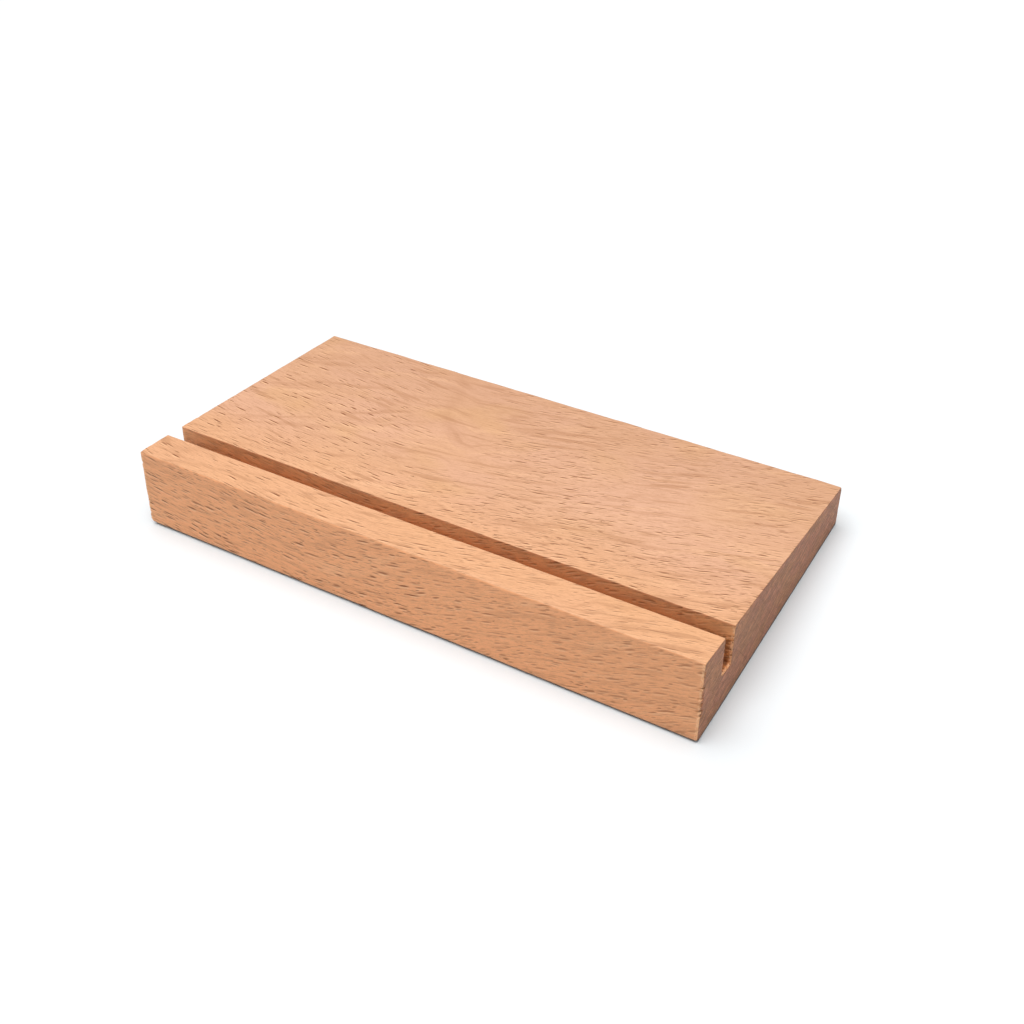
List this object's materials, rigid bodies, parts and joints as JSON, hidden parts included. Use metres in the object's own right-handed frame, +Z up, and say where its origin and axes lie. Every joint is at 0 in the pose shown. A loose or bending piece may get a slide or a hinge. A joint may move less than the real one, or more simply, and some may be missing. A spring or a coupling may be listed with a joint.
{
  "type": "phone stand",
  "caption": "Wedge-shaped solid beech block with a straight slot along its front that holds a phone leaning back.",
  "frame": {"origin": "under the middle of the block's bounding box, on the surface it stands on", "axes": "+X along the length, left to right as seen from the front; +Y to the rear, the thin end; +Z up"},
  "size_m": [0.25, 0.1304, 0.0346],
  "materials": {
    "beech": "sanded and lightly oiled, satin"
  },
  "bodies": {
    "root": {"stand_block": "beech"}
  },
  "joints": []
}
